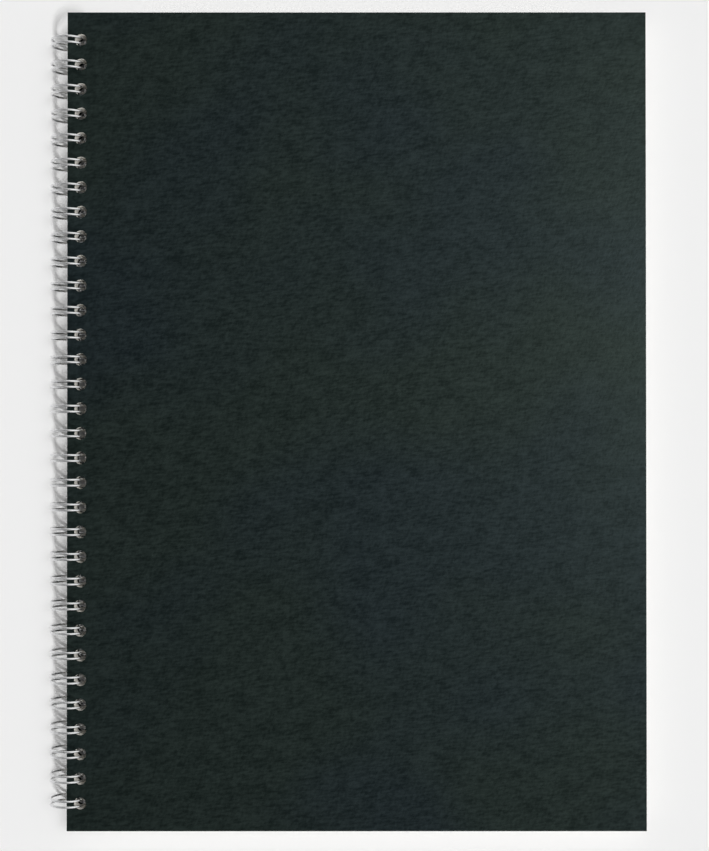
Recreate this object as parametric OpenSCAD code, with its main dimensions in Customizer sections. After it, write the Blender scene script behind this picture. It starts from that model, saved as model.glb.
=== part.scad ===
/* [Covers] */
// Width of the covers and the sheets, from spine edge to fore edge
cover_w = 148.5; // [100:0.5:220]
// Height of the covers and the sheets, from tail to head
cover_h = 210; // [120:1:300]
// Thickness of each card cover
cover_t = 0.8; // [0.4:0.05:1.5]

/* [Pages] */
// Thickness of the block of sheets
pages_t = 5.2; // [3:0.1:12]
// Length over which the last leaves bow down again behind the wire's closure
bow_run = 9; // [5:0.5:20]

/* [Punching] */
// Distance from one loop of the wire to the next
loop_pitch = 6.32; // [5.8:0.01:9.5]
// Least distance from either end of the cover to the first hole's centre
end_margin = 7; // [5:0.5:14]
// Clearance between the wire and the wall of its hole
hole_clear = 0.2; // [0.1:0.05:0.5]

/* [Wire] */
// Diameter of the wire
wire_d = 0.6; // [0.5:0.05:0.9]
// Distance between the two legs of a loop, centre to centre
leg_gap = 1.5; // [1.3:0.05:1.9]
// Free height inside the loops, over each cover's face
wire_rise = 0.75; // [0.6:0.05:2]
// Distance of the loops' axis outside the spine edge
axis_setback = 0.2; // [0.15:0.05:0.6]

/* [Closure] */
// Bend radius where a leg turns into the straight to the next loop
bend_r = 0.6; // [0.5:0.05:0.9]
// Clearance between the closure and the leaves on both of its sides
seam_clear = 0.1; // [0.05:0.05:0.3]
// Clearance between a loop's tip and the bends that it closes on
tip_clear = 0.1; // [0.05:0.05:0.3]
// How much thinner the wire's radius draws where it is bent tightly
bend_draw = 0.005; // [0.003:0.001:0.02]
// How far each leg and straight runs on into the bend that it meets
run_in = 0.01; // [0.005:0.005:0.05]
// Length of the cut straight past the first and last loops
stub_l = 1; // [0.5:0.1:2]

/* [Hidden] */

wire_r = wire_d / 2;
drawn_r = wire_r - bend_draw;
stack_t = pages_t + 2 * cover_t;
ring_in = stack_t / 2 + wire_rise;
ring_r = ring_in + wire_r;
ring_out = ring_in + wire_d;

// The loops stand in the middle of the height, as many as its margins let in
loop_n = floor((cover_h - 2 * end_margin) / loop_pitch) + 1;
loop_y = [for (i = [0:loop_n - 1]) (i - (loop_n - 1) / 2) * loop_pitch];

// The origin is under the middle of the whole notebook, on the plane that the loops touch
spine_x = ring_out + axis_setback - (ring_out + axis_setback + cover_w) / 2;
axis_x = spine_x - axis_setback;
axis_z = ring_out;
back_z = axis_z - stack_t / 2;
pages_z = back_z + cover_t;
front_z = pages_z + pages_t;

// A hole spans the wire from where it dives through a cover's face to its widest reach
dive_x = sqrt(pow(ring_in, 2) - pow(stack_t / 2, 2));
hole_x = axis_x + (dive_x + ring_out) / 2;
hole_r = norm([(ring_out - dive_x) / 2, leg_gap / 2]) + hole_clear;

// The closure lies on the back cover: angles round the loops' axis of its bends and tips
seam_z = -pages_t / 2 + seam_clear + wire_r;
base_angle = asin(seam_z / norm([ring_r, bend_r])) - atan2(bend_r, ring_r);
nest = sqrt(pow(leg_gap / 2 + wire_d + bend_r + tip_clear, 2) - pow(leg_gap / 2 + bend_r, 2));
tip_angle = base_angle + nest / ring_r * 180 / PI;
straight_l = loop_pitch - leg_gap - 2 * bend_r;
run_in_angle = run_in / ring_r * 180 / PI;

// The hollow under the last leaves clears the closure, then runs out in a smooth bow
bow_h = 2 * seam_clear + wire_d;
bow_x = ring_r * cos(base_angle) - bend_r * sin(base_angle) + wire_r + seam_clear - axis_setback;
bow_steps = 12;
drill = 1;

module holes(z, t) {
    for (y = loop_y)
        translate([hole_x, y, z - drill]) cylinder(r = hole_r, h = t + 2 * drill, $fn = 48);
}

module cover(z) {
    difference() {
        translate([spine_x, -cover_h / 2, z]) cube([cover_w, cover_h, cover_t]);
        holes(z, cover_t);
    }
}

module front_cover() {
    color([0.16, 0.19, 0.18]) cover(front_z);
}

module back_cover() {
    color([0.16, 0.19, 0.18]) cover(back_z);
}

// Section of the sheets across the spine, from their lower spine corner
module pages_section() {
    bow = [for (i = [0:bow_steps]) let (s = i / bow_steps)
        [bow_x + s * bow_run, bow_h * (1 + cos(180 * s)) / 2]];
    polygon(concat([[0, bow_h]], bow, [[cover_w, 0], [cover_w, pages_t], [0, pages_t]]));
}

module page_block() {
    color([0.95, 0.94, 0.9])
        difference() {
            translate([spine_x, cover_h / 2, pages_z])
                rotate([90, 0, 0]) linear_extrude(cover_h) pages_section();
            holes(pages_z, pages_t);
        }
}

// A length of the wire bent to radius bend, from the x axis on
module bent_wire(bend, angle, r) {
    rotate_extrude(angle = angle, $fn = 72) translate([bend, 0]) circle(r = r, $fn = 16);
}

// Puts a bend at an angle round the loops' axis, in the plane that touches the loop there
module at_ring(angle) {
    rotate([0, 0, angle]) translate([ring_r, 0, 0]) rotate([0, 90, 0]) children();
}

// One leg of a loop, from its tip round the spine and through the holes to its bend
module leg() {
    translate([0, 0, leg_gap / 2])
        rotate([0, 0, tip_angle - run_in_angle])
            bent_wire(ring_r, 360 + base_angle - tip_angle + 2 * run_in_angle, wire_r);
}

// The bend at a leg's foot and the straight that leads on from it, if it has one
module foot(length) {
    at_ring(base_angle) {
        translate([-leg_gap / 2 - bend_r, 0, 0]) bent_wire(bend_r, 90, drawn_r);
        if (length > 0)
            translate([run_in - leg_gap / 2 - bend_r, bend_r, 0])
                rotate([0, -90, 0]) cylinder(r = wire_r, h = run_in + length, $fn = 16);
    }
}

// A twin loop closed at its tip, with the axis along z and what leads on to either side
module twin_loop(below, above) {
    leg();
    mirror([0, 0, 1]) leg();
    at_ring(tip_angle) rotate([0, 0, 180]) bent_wire(leg_gap / 2, 180, drawn_r);
    foot(above);
    mirror([0, 0, 1]) foot(below);
}

module wire_binding() {
    color([0.85, 0.86, 0.87])
        translate([axis_x, 0, axis_z]) rotate([90, 0, 0])
            for (i = [0:loop_n - 1])
                translate([0, 0, -loop_y[i]])
                    twin_loop(
                        i == loop_n - 1 ? stub_l : straight_l + run_in,
                        i == 0 ? stub_l : 0
                    );
}

front_cover();
page_block();
back_cover();
wire_binding();
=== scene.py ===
"""Looks of a wire-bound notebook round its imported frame. Lengths are in metres, in the part's frame."""

import math
import random

import bpy
from mathutils import Matrix, Vector


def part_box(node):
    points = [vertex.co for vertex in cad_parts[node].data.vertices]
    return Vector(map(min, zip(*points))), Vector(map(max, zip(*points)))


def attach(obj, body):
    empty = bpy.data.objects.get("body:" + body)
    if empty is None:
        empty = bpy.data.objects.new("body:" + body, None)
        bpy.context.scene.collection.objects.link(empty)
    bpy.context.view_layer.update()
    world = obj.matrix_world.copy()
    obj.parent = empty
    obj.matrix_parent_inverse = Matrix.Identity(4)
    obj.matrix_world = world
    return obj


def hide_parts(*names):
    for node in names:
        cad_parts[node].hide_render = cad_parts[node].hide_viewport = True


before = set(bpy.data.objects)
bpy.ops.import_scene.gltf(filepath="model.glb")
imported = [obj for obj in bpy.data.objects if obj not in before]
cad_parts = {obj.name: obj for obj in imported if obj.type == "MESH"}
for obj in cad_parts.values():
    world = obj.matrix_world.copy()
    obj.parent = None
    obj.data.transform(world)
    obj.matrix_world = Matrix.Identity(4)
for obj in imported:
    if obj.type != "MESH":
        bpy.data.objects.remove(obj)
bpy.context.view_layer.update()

# Sizes that the frame gives
MM = 0.001
WIRE_LOW, WIRE_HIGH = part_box("wire_binding")
PAGES_LOW, PAGES_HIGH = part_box("page_block")
FRONT_LOW, FRONT_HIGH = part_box("front_cover")
BACK_LOW, BACK_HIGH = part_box("back_cover")
SPINE_X = PAGES_LOW.x
SHEET_W = PAGES_HIGH.x - PAGES_LOW.x
SHEET_H = PAGES_HIGH.y - PAGES_LOW.y
STACK_T = FRONT_HIGH.z - BACK_LOW.z
RING_OUT = (WIRE_HIGH.z - WIRE_LOW.z) / 2
AXIS = Vector((WIRE_LOW.x + RING_OUT, 0, WIRE_LOW.z + RING_OUT))

# Sizes of the binding, as the part has them
LOOPS = 32
PITCH = 6.32 * MM
WIRE_R = 0.3 * MM
LEG_GAP = 1.5 * MM
BEND_R = 0.6 * MM
SEAM_CLEAR = 0.1 * MM
TIP_CLEAR = 0.1 * MM
HOLE_CLEAR = 0.2 * MM
STUB = 1 * MM
BOW_RUN = 9 * MM
LOOP_Y = [(i - (LOOPS - 1) / 2) * PITCH for i in range(LOOPS)]
RING_IN = RING_OUT - 2 * WIRE_R
RING_R = RING_OUT - WIRE_R
DIVE_X = math.sqrt(RING_IN**2 - (STACK_T / 2) ** 2)
HOLE_X = AXIS.x + (DIVE_X + RING_OUT) / 2 - SPINE_X
HOLE_R = math.hypot((RING_OUT - DIVE_X) / 2, LEG_GAP / 2) + HOLE_CLEAR

# Where the closure of the loops lies, as angles round their axis
SEAM_Z = PAGES_LOW.z - AXIS.z + SEAM_CLEAR + WIRE_R
BASE_ANGLE = math.asin(SEAM_Z / math.hypot(RING_R, BEND_R)) - math.atan2(BEND_R, RING_R)
NEST = math.sqrt((LEG_GAP / 2 + 2 * WIRE_R + BEND_R + TIP_CLEAR) ** 2 - (LEG_GAP / 2 + BEND_R) ** 2)
TIP_ANGLE = BASE_ANGLE + NEST / RING_R

# The hollow under the last leaves, which clears the closure
BOW_H = 2 * (SEAM_CLEAR + WIRE_R)
CLOSURE_X = RING_R * math.cos(BASE_ANGLE) - BEND_R * math.sin(BASE_ANGLE)
BOW_X = CLOSURE_X + WIRE_R + SEAM_CLEAR + AXIS.x - SPINE_X

# Leaves as drawn: fewer than the part's weight counts, to keep within the triangles that a piece may have
LEAVES = 40
LEAF_SHIFT = 0.07 * MM
LEAF_HOLE_SHIFT = 0.05 * MM
LEAF_SEED = 5

# Depth to which a cover's cut edges and hole rims are rounded
COVER_EDGE = 0.07 * MM

# Fineness of the meshes
HOLE_SIDES = 24
BOW_STEPS = 8
WIRE_SIDES = 14
LEG_STEPS = 66
BEND_STEPS = 6
TIP_STEPS = 12
POINTS_PER_M = 1e7

# Tones of the surfaces in linear light; a pair goes from dark to pale
CARD_GREEN = ((0.0050, 0.0082, 0.0075, 1), (0.0139, 0.0205, 0.0187, 1))
CARD_BLUE = ((0.0044, 0.0074, 0.0086, 1), (0.0130, 0.0191, 0.0211, 1))
CARD_SPECK = (0.10, 0.11, 0.10, 1)
CARD_GLOSS_TINT = (0.76, 1.0, 0.88, 1)
PAPER = ((0.84, 0.82, 0.77, 1), (0.90, 0.885, 0.84, 1))
# Painted shade for the gaps between leaves on the cut edges
PAPER_GAP_SHADE = (0.42, 0.40, 0.36, 1)
SILVER = ((0.74, 0.745, 0.75, 1), (0.86, 0.865, 0.87, 1))
FLOOR_TONE = 0.863


class Graph:
    """The nodes of a material or of the world, added and joined in one call each."""

    def __init__(self, owner):
        owner.use_nodes = True
        self.owner = owner
        self.nodes = owner.node_tree.nodes
        self.links = owner.node_tree.links
        self.nodes.clear()

    def add(self, kind, settings=None, **inputs):
        """Adds a node; an input is a value, or the output socket that feeds it."""
        node = self.nodes.new("ShaderNode" + kind)
        for key, value in (settings or {}).items():
            setattr(node, key, value)
        for key, value in inputs.items():
            numbered = key[1:].isdigit()
            socket = node.inputs[int(key[1:]) if numbered else key.replace("_", " ")]
            if isinstance(value, bpy.types.NodeSocket):
                self.links.new(value, socket)
            else:
                socket.default_value = value
        return node

    def maths(self, operation, a, b=0.0):
        return self.add("Math", {"operation": operation}, i0=a, i1=b).outputs[0]

    def total(self, *parts):
        """Adds up sockets, each given with its weight."""
        result = 0.0
        for socket, weight in parts:
            result = self.maths("ADD", result, self.maths("MULTIPLY", socket, weight))
        return result

    def noise(self, vector, detail, roughness):
        inputs = {"Vector": vector, "Scale": 1.0, "Detail": detail, "Roughness": roughness}
        return self.add("TexNoise", **inputs).outputs["Fac"]

    def place(self, stretch, turn=0):
        """The object's own coordinates, turned about z by degrees, then stretched to cells to the metre."""
        own = self.add("TexCoord").outputs["Object"]
        turned = self.add("Mapping", Vector=own, Rotation=(0, 0, math.radians(turn))).outputs[0]
        return self.add("Mapping", Vector=turned, Scale=stretch).outputs[0]

    def blend(self, share, low, high):
        """Blends two colours by a share from 0 to 1."""
        return self.add("Mix", {"data_type": "RGBA"}, i0=share, i6=low, i7=high).outputs[2]

    def weigh(self, share, low, high):
        """Blends two numbers by a share from 0 to 1."""
        return self.add("Mix", i0=share, i2=low, i3=high).outputs[0]

    def span(self, value, from_low, from_high, to_low=0.0, to_high=1.0, ease="LINEAR"):
        ends = {"i1": from_low, "i2": from_high, "i3": to_low, "i4": to_high}
        return self.add("MapRange", {"interpolation_type": ease}, i0=value, **ends).outputs[0]

    def bump(self, height, depth, strength):
        return self.add("Bump", Height=height, Distance=depth, Strength=strength).outputs[0]

    def surface(self, **inputs):
        shader = self.add("BsdfPrincipled", **inputs)
        self.add("OutputMaterial", Surface=shader.outputs[0])
        return self.owner


def card_material():
    """Dark grey-green dyed card: fine fibres, most of them across its width, clouds and a few pale specks."""
    g = Graph(bpy.data.materials.new("dyed_card"))
    fibres = g.noise(g.place((420, 1500, 1500), turn=-7), detail=3.0, roughness=0.65)
    cross = g.noise(g.place((1500, 700, 1500), turn=24), detail=2.0, roughness=0.6)
    clouds = g.noise(g.place((170, 260, 260)), detail=3.0, roughness=0.6)
    patches = g.noise(g.place((14, 18, 18)), detail=2.0, roughness=0.5)
    tone = g.span(g.total((fibres, 0.42), (cross, 0.3), (clouds, 0.28)), 0.40, 0.60)
    card = g.blend(g.span(patches, 0.42, 0.62), g.blend(tone, *CARD_GREEN), g.blend(tone, *CARD_BLUE))
    cells = g.add("TexVoronoi", Vector=g.place((95, 95, 95)), Scale=1.0).outputs
    chosen = g.maths("GREATER_THAN", g.add("SeparateColor", i0=cells["Color"]).outputs[0], 0.93)
    near = g.maths("LESS_THAN", cells["Distance"], 0.022)
    card = g.blend(g.maths("MULTIPLY", chosen, near), card, CARD_SPECK)
    rough = g.span(fibres, 0.3, 0.7, 0.36, 0.5)
    normal = g.bump(g.total((fibres, 1.0), (cross, 0.6)), depth=0.05 * MM, strength=0.8)
    return g.surface(
        Base_Color=card,
        Roughness=rough,
        Normal=normal,
        Specular_IOR_Level=0.11,
        Specular_Tint=CARD_GLOSS_TINT,
    )


def paper_material():
    """Uncoated off-white paper; on the cut edges each leaf shows as a line, drawn as painted shade where one
    leaf meets the next.
    """
    g = Graph(bpy.data.materials.new("uncoated_paper"))
    leaf = g.add("Attribute", {"attribute_name": "leaf"}).outputs["Fac"]
    # Painted shade: the paper darkens where one leaf meets the next, standing in for shade in the gaps
    # between leaves
    off_middle = g.maths("ABSOLUTE", g.maths("SUBTRACT", g.maths("FRACT", leaf), 0.5))
    gap_shade = g.span(off_middle, 0.34, 0.5)
    tint = g.noise(g.place((260, 260, 260)), detail=3.0, roughness=0.6)
    streak = g.add("TexWhiteNoise", {"noise_dimensions": "1D"}, W=g.maths("FLOOR", leaf)).outputs[0]
    paper = g.blend(g.total((tint, 0.5), (streak, 0.5)), *PAPER)
    paper = g.blend(g.maths("MULTIPLY", gap_shade, 0.5), paper, PAPER_GAP_SHADE)
    grain = g.noise(g.place((5200, 5200, 5200)), detail=3.0, roughness=0.6)
    normal = g.bump(grain, depth=0.01 * MM, strength=0.35)
    return g.surface(Base_Color=paper, Roughness=0.9, Normal=normal, Specular_IOR_Level=0.25)


def wire_material():
    """Silver-coated steel wire, smooth, with faint marks that run along its loops."""
    g = Graph(bpy.data.materials.new("silver_wire"))
    marks = g.noise(g.place((700, 6000, 700)), detail=2.0, roughness=0.5)
    dull = g.noise(g.place((240, 240, 240)), detail=3.0, roughness=0.6)
    silver = g.blend(dull, *SILVER)
    rough = g.span(g.total((dull, 0.6), (marks, 0.4)), 0.35, 0.65, 0.22, 0.36)
    normal = g.bump(marks, depth=0.004 * MM, strength=0.5)
    return g.surface(Base_Color=silver, Metallic=1.0, Roughness=rough, Normal=normal)


class Plan:
    """A sheet's outline and row of round holes as a net of quads, seen from above.

    Each hole stands in a square cell of one pitch, whose border has as many points as the hole's rim.
    """

    def __init__(self, x_lines):
        self.points = []
        self.index = {}
        self.faces = []
        self.holes = []
        side = HOLE_SIDES // 4
        steps = [i / side - 0.5 for i in range(side)]
        square = [(s, -0.5) for s in steps] + [(0.5, s) for s in steps]
        square += [(-s, 0.5) for s in steps] + [(-0.5, -s) for s in steps]
        for y in LOOP_Y:
            rim = [self.hole_point(y, k) for k in range(HOLE_SIDES)]
            cell = [self.point(HOLE_X + u * PITCH, y + v * PITCH) for u, v in square]
            for k in range(HOLE_SIDES):
                n = (k + 1) % HOLE_SIDES
                self.faces.append((rim[k], cell[k], cell[n], rim[n]))
            self.holes.append(rim)
        cell_x = [HOLE_X + s * PITCH for s in steps] + [HOLE_X + PITCH / 2]
        cell_y = [y + s * PITCH for y in LOOP_Y for s in steps] + [LOOP_Y[-1] + PITCH / 2]
        left, right = [0, cell_x[0]], [cell_x[-1], *x_lines, SHEET_W]
        self.net(left, cell_y)
        self.net(right, cell_y)
        every_x = [0, *cell_x, *x_lines, SHEET_W]
        self.net(every_x, [-SHEET_H / 2, cell_y[0]])
        self.net(every_x, [cell_y[-1], SHEET_H / 2])
        every_y = [-SHEET_H / 2, *cell_y, SHEET_H / 2]
        tail = [self.point(x, every_y[0]) for x in every_x]
        fore = [self.point(SHEET_W, y) for y in every_y[1:]]
        head = [self.point(x, every_y[-1]) for x in reversed(every_x[:-1])]
        spine = [self.point(0, y) for y in reversed(every_y[1:-1])]
        self.outline = tail + fore + head + spine

    def point(self, x, y):
        """The number of a point; places that round to the same step of POINTS_PER_M are one point."""
        key = (round(x * POINTS_PER_M), round(y * POINTS_PER_M))
        if key not in self.index:
            self.index[key] = len(self.points)
            self.points.append((x, y))
        return self.index[key]

    def hole_point(self, y, k):
        """A point of a hole's rim, counted from the corner where its cell's border starts."""
        a = 2 * math.pi * k / HOLE_SIDES - 3 * math.pi / 4
        return self.point(HOLE_X + HOLE_R * math.cos(a), y + HOLE_R * math.sin(a))

    def net(self, xs, ys):
        for x0, x1 in zip(xs, xs[1:]):
            for y0, y1 in zip(ys, ys[1:]):
                corners = ((x0, y0), (x1, y0), (x1, y1), (x0, y1))
                self.faces.append([self.point(x, y) for x, y in corners])

    def moved(self, loop, inset):
        """The loop's points in the sheet's plane, cut back into the sheet by the inset."""
        out = []
        for i in loop:
            x, y = self.points[i]
            if loop is self.outline:
                x = min(max(x, inset), SHEET_W - inset)
                y = min(max(y, inset - SHEET_H / 2), SHEET_H / 2 - inset)
            else:
                middle = min(LOOP_Y, key=lambda v: abs(v - y))
                grow = 1 + inset / HOLE_R
                x, y = HOLE_X + (x - HOLE_X) * grow, middle + (y - middle) * grow
            out.append((x, y))
        return out


class Level:
    """A height of a stack of sheets: how far the edges are cut back there, and which leaf it is."""

    def __init__(self, height, inset, hole_inset, leaf=0.0):
        self.height = height
        self.inset = inset
        self.hole_inset = hole_inset
        self.leaf = leaf


def make_piece(name, verts, faces, material):
    """An object in the scene with a mesh of its own."""
    mesh = bpy.data.meshes.new(name)
    mesh.from_pydata(verts, [], faces)
    mesh.materials.append(material)
    piece = bpy.data.objects.new(name, mesh)
    bpy.context.scene.collection.objects.link(piece)
    return piece


def stack(name, plan, levels, material):
    """A closed mesh of the plan between its first and last levels, with a ring of edge at each."""
    verts, faces, leaves = [], [], []

    def ring(loop, level, inset):
        start = len(verts)
        for x, y in plan.moved(loop, inset):
            verts.append((SPINE_X + x, y, level.height(x)))
            leaves.append(level.leaf)
        return list(range(start, start + len(loop)))

    def rings(loop, which):
        made = [ring(loop, level, getattr(level, which)) for level in levels]
        for low, high in zip(made, made[1:]):
            for k in range(len(loop)):
                n = (k + 1) % len(loop)
                faces.append((low[k], low[n], high[n], high[k]))
        return dict(zip(loop, made[0])), dict(zip(loop, made[-1]))

    ends = [rings(plan.outline, "inset")]
    ends += [rings(hole[::-1], "hole_inset") for hole in plan.holes]
    for end, level in ((0, levels[0]), (1, levels[-1])):
        at = {}
        for pair in ends:
            at.update(pair[end])
        for i, (x, y) in enumerate(plan.points):
            if i not in at:
                at[i] = len(verts)
                verts.append((SPINE_X + x, y, level.height(x)))
                leaves.append(level.leaf)
        for face in plan.faces:
            corners = [at[i] for i in face]
            faces.append(corners if end else corners[::-1])
    piece = make_piece(name, verts, faces, material)
    piece.data.attributes.new("leaf", "FLOAT", "POINT").data.foreach_set("value", leaves)
    piece.data.validate()
    return piece


def make_cover(name, low, high, material):
    """A card cover with its cut edges and hole rims just broken, not sharp."""
    quarter = [math.radians(a) for a in (0, 45, 90)]
    round_edge = [(COVER_EDGE * (1 - math.cos(a)), COVER_EDGE * (1 - math.sin(a))) for a in quarter]
    heights = [(low.z + up, inset) for up, inset in round_edge]
    heights += [(high.z - down, inset) for down, inset in reversed(round_edge)]
    levels = [Level(lambda x, z=z: z, inset, inset) for z, inset in heights]
    return stack(name, Plan([]), levels, material)


def bow(x):
    """Rise of the lowest leaf over the closure of the wire, at a distance from the spine edge."""
    share = min(max((x - BOW_X) / BOW_RUN, 0), 1)
    return BOW_H * (1 + math.cos(math.pi * share)) / 2


def make_pages(material):
    """The block of leaves, each with its own edge cut back a hair more or less than the next."""
    rng = random.Random(LEAF_SEED)
    shift = [rng.uniform(0, LEAF_SHIFT) for _ in range(LEAVES)]
    hole_shift = [rng.uniform(0, LEAF_HOLE_SHIFT) for _ in range(LEAVES)]

    def height(share):
        return lambda x: PAGES_LOW.z + bow(x) + (PAGES_HIGH.z - PAGES_LOW.z - bow(x)) * share

    levels = []
    for i in range(LEAVES):
        for end in (i, i + 1):
            levels.append(Level(height(end / LEAVES), shift[i], hole_shift[i], float(end)))
    cells_end = HOLE_X + PITCH / 2
    narrowest = PITCH / 12
    lines = [BOW_X + BOW_RUN * k / BOW_STEPS for k in range(1, BOW_STEPS + 1)]
    return stack("page_leaves", Plan([x for x in lines if x > cells_end + narrowest]), levels, material)


def wire_path():
    """The middle of the wire as points, from the cut end at the tail to the one at the head."""

    def at(angle, along, y):
        """A point on the ring at an angle, moved along its tangent there."""
        c, s = math.cos(angle), math.sin(angle)
        return Vector((AXIS.x + RING_R * c - along * s, y, AXIS.z + RING_R * s + along * c))

    def leg(y, backwards):
        turn = 2 * math.pi + BASE_ANGLE - TIP_ANGLE
        steps = [TIP_ANGLE + turn * k / LEG_STEPS for k in range(LEG_STEPS + 1)]
        points = [at(a, 0, y) for a in steps]
        return points[::-1] if backwards else points

    def foot(y, side, outwards):
        """The bend at a leg's foot: it leaves the leg along the ring and turns along the spine."""
        points = []
        for k in range(1, BEND_STEPS + 1):
            a = math.pi / 2 * k / BEND_STEPS
            points.append(at(BASE_ANGLE, BEND_R * math.sin(a), y + side * BEND_R * (1 - math.cos(a))))
        return points if outwards else points[::-1]

    def tip(y):
        half = [math.pi * k / TIP_STEPS for k in range(1, TIP_STEPS)]
        return [at(TIP_ANGLE, -LEG_GAP / 2 * math.sin(a), y - LEG_GAP / 2 * math.cos(a)) for a in half]

    path = []
    for i, y in enumerate(LOOP_Y):
        low, high = y - LEG_GAP / 2, y + LEG_GAP / 2
        if i == 0:
            path.append(at(BASE_ANGLE, BEND_R, low - BEND_R - STUB))
        path += foot(low, -1, False) + leg(low, True) + tip(y) + leg(high, False) + foot(high, 1, True)
        if i == LOOPS - 1:
            path.append(at(BASE_ANGLE, BEND_R, high + BEND_R + STUB))
    return path


def make_wire(material):
    """One round tube along the wire's path, turned with it so that it never twists."""
    path = wire_path()
    heading = (path[1] - path[0]).normalized()
    across = Vector((1, 0, 0)) - heading * heading.x
    across.normalize()
    verts, faces = [], []
    for k, point in enumerate(path):
        ahead = (path[min(k + 1, len(path) - 1)] - path[max(k - 1, 0)]).normalized()
        across = (heading.rotation_difference(ahead) @ across).normalized()
        heading = ahead
        up = ahead.cross(across)
        for s in range(WIRE_SIDES):
            a = 2 * math.pi * s / WIRE_SIDES
            verts.append(point + (across * math.cos(a) + up * math.sin(a)) * WIRE_R)
    for k in range(len(path) - 1):
        low, high = k * WIRE_SIDES, (k + 1) * WIRE_SIDES
        for s in range(WIRE_SIDES):
            n = (s + 1) % WIRE_SIDES
            faces.append((low + s, low + n, high + n, high + s))
    faces.append(list(range(WIRE_SIDES))[::-1])
    faces.append([len(verts) - WIRE_SIDES + s for s in range(WIRE_SIDES)])
    wire = make_piece("twin_loop_wire", verts, faces, material)
    wire.data.polygons.foreach_set("use_smooth", [len(f) == 4 for f in faces])
    return wire


def make_floor():
    """A pale floor that touches the loops and the back cover's fore edge, as the notebook lies.

    The stretch that the notebook always covers is a piece of its own, which the floor's key doesn't light.
    """
    g = Graph(bpy.data.materials.new("floor"))
    diffuse = g.add("BsdfDiffuse", Color=(FLOOR_TONE, FLOOR_TONE, FLOOR_TONE, 1))
    g.add("OutputMaterial", Surface=diffuse.outputs[0])
    half = 3.0
    inset = 2 * MM
    xs = (-half, SPINE_X - AXIS.x, SHEET_W - 2 * inset, half)
    ys = (-half, inset - SHEET_H / 2, SHEET_H / 2 - inset, half)
    corners = [(x, y, 0) for y in ys for x in xs]
    cells = [(i, i + 1, i + 5, i + 4) for i in range(11) if i % 4 < 3]
    middle = cells.pop(4)
    slope = math.atan2(BACK_LOW.z - WIRE_LOW.z, BACK_HIGH.x - AXIS.x)
    made = []
    for name, verts, faces in (
        ("floor", corners, cells),
        ("floor_under", [corners[i] for i in middle], [(0, 1, 2, 3)]),
    ):
        piece = make_piece(name, verts, faces, g.owner)
        piece.matrix_world = Matrix.Translation((AXIS.x, 0, WIRE_LOW.z)) @ Matrix.Rotation(-slope, 4, "Y")
        made.append(piece)
    return made


def make_lamp(kind, name, towards, energy):
    """A lamp whose light comes from a direction."""
    data = bpy.data.lights.new(name, kind)
    data.energy = energy
    lamp = bpy.data.objects.new(name, data)
    lamp.rotation_mode = "QUATERNION"
    lamp.rotation_quaternion = Vector(towards).to_track_quat("Z", "Y")
    bpy.context.scene.collection.objects.link(lamp)
    return lamp


def make_sun(name, towards, strength, angle):
    """A distant lamp, as wide as an angle in degrees."""
    sun = make_lamp("SUN", name, towards, strength)
    sun.data.angle = math.radians(angle)
    return sun


def make_softbox(name, place, size, power):
    """A square lamp near the notebook, turned to its middle."""
    softbox = make_lamp("AREA", name, place, power)
    softbox.data.size = size
    softbox.location = place
    return softbox


def light_only(lamp, lit, shading=None):
    """Lets a lamp light only some objects, and cast the shadows of only some if they are given."""
    groups = {"receiver_collection": lit, "blocker_collection": shading}
    for kind, members in groups.items():
        if members:
            group = bpy.data.collections.new(lamp.name + "_" + kind)
            for member in members:
                group.objects.link(member)
            setattr(lamp.light_linking, kind, group)


def make_world():
    """Studio surroundings: dim and even for diffuse light, and graded for what shows in gloss.

    Gloss shows a pale wall on the right, which reaches further round at the head, a darker one on the left,
    and darkness straight above. The camera sees the floor's tone, so that no horizon shows.
    """
    even_level = 0.168
    right_level = 1.04
    left_levels = (0.48, 0.24)
    above_level = 0.048
    horizon_level = 0.48
    lean = 0.3
    g = Graph(bpy.data.worlds.new("studio"))
    way = g.add("SeparateXYZ", i0=g.add("TexCoord").outputs["Generated"]).outputs
    side = g.maths("ADD", way[0], g.maths("MULTIPLY", way[1], lean))
    left = g.span(way[0], -0.9, -0.2, *left_levels, ease="SMOOTHSTEP")
    wall = g.weigh(g.span(side, -0.1, 0.24, ease="SMOOTHSTEP"), left, right_level)
    above = g.weigh(g.span(way[2], 0.92, 0.98, ease="SMOOTHSTEP"), wall, above_level)
    gloss = g.weigh(g.span(way[2], 0.0, 0.4, 1.0, 0.0, ease="SMOOTHSTEP"), above, horizon_level)
    path = g.add("LightPath").outputs
    direct = g.maths("LESS_THAN", path["Diffuse Depth"], 0.5)
    shown = g.maths("MULTIPLY", path["Is Glossy Ray"], direct)
    light = g.weigh(shown, even_level, gloss)
    level = g.weigh(path["Is Camera Ray"], light, FLOOR_TONE)
    soft = g.add("Background", Color=(1, 1, 1, 1), Strength=level)
    g.add("OutputWorld", Surface=soft.outputs[0])
    bpy.context.scene.world = g.owner


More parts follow.
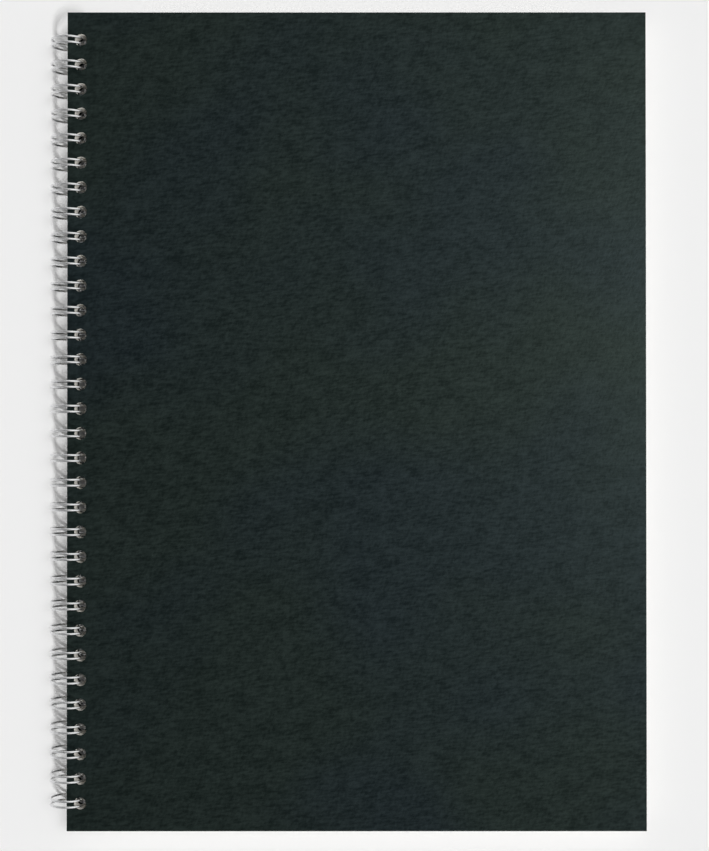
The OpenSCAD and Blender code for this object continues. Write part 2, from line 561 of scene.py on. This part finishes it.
def make_camera():
    """The photograph's view: from above the middle, tipped a little towards the head."""
    focal_px = 1482
    image_h_px = 851
    from_spine = 73.69 * MM
    towards_tail = 3.94 * MM
    over_cover = 379.97 * MM
    tip = math.radians(0.419)
    roll = math.radians(-0.008)
    data = bpy.data.cameras.new("camera")
    # Blender counts the sensor's width along the longer side of the image, which is its height here
    data.sensor_width = 36
    data.lens = focal_px / image_h_px * data.sensor_width
    data.clip_start = 0.01
    data.clip_end = 20
    camera = bpy.data.objects.new("camera", data)
    camera.location = (SPINE_X + from_spine, -towards_tail, FRONT_HIGH.z + over_cover)
    camera.rotation_euler = (tip, 0, roll)
    bpy.context.scene.collection.objects.link(camera)
    bpy.context.scene.camera = camera


card = card_material()
front = make_cover("front_card", FRONT_LOW, FRONT_HIGH, card)
back = make_cover("back_card", BACK_LOW, BACK_HIGH, card)
pages = make_pages(paper_material())
wire = make_wire(wire_material())
for piece, body, node, slot in (
    (front, "front_cover", "front_cover", "cover_card"),
    (back, "back_cover", "back_cover", "cover_card"),
    (pages, "block", "page_block", "sheets"),
    (wire, "block", "wire_binding", "wire"),
):
    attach(piece, body)
    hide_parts(node)

floor, floor_under = make_floor()
make_world()

# The notebook's lamps. The covers don't shade the softboxes of the wire and the pages, which lightens the
# holes. Of all lamps only the card's softbox shows in gloss.
card_softbox = make_softbox("card_softbox", place=(0.32, 0.06, 0.42), size=0.16, power=2.45)
light_only(card_softbox, (front, back))
wire_softbox = make_softbox("wire_softbox", place=(0.24, 0.0, 0.48), size=0.3, power=4.4)
light_only(wire_softbox, (wire,), shading=(wire, pages))
page_softbox = make_softbox("page_softbox", place=(0.24, 0.0, 0.48), size=0.3, power=3.0)
light_only(page_softbox, (pages,), shading=(wire, pages))
key = make_sun("key", towards=(0.44, -1.65, 1), strength=2.3, angle=6)
light_only(key, (front, back, pages, wire))
for lamp in (wire_softbox, page_softbox, key):
    lamp.visible_glossy = False

# The floor's lamps. Its key casts the wire's shadow alone, because the photograph shows no shadow of the
# sheets past their head.
floor_sky = make_sun("floor_sky", towards=(0, 0, 1), strength=0.5, angle=150)
light_only(floor_sky, (floor, floor_under))
floor_side = make_sun("floor_side", towards=(0.42, 0.15, 1), strength=0.72, angle=26)
light_only(floor_side, (floor, floor_under))
floor_key = make_sun("floor_key", towards=(0.06, -1, 1), strength=2.05, angle=11)
light_only(floor_key, (floor,), shading=(wire,))
make_camera()

bpy.context.scene.view_settings.view_transform = "Standard"
